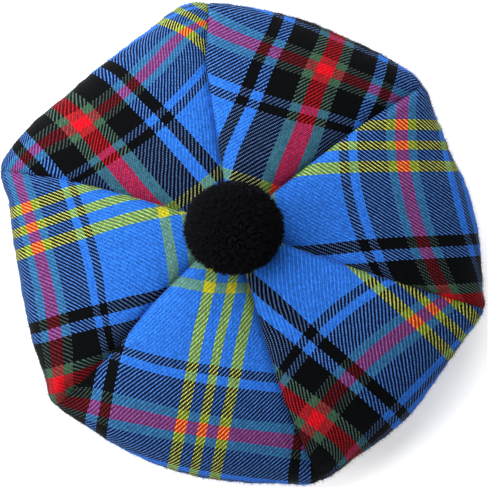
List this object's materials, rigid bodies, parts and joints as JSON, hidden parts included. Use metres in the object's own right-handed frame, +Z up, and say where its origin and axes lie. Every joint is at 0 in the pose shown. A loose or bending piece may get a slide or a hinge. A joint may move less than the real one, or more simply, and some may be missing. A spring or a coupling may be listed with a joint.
{
  "type": "tam o' shanter",
  "caption": "Round soft cap of gored tartan wool lying flat, its full rim rolled over a plain headband, with a black wool pompom on the middle.",
  "frame": {"origin": "middle of the cap's outline in plan, on the surface that the headband rests on", "axes": "+Z up through the crown to the pompom, +X to the right and +Y to the top of the cap as seen from above"},
  "size_m": [0.2804, 0.2794, 0.119],
  "materials": {
    "tartan_wool": "twill-woven wool in a blue, black, green, red and yellow tartan",
    "headband_wool": "plain black wool, folded double",
    "pompom_wool": "dense cut black wool yarn"
  },
  "bodies": {
    "root": {"gore_right": "tartan_wool", "gore_top_right": "tartan_wool", "gore_top_left": "tartan_wool", "gore_left": "tartan_wool", "gore_bottom": "tartan_wool", "gore_lower_right": "tartan_wool", "headband": "headband_wool", "pompom": "pompom_wool"}
  },
  "joints": []
}
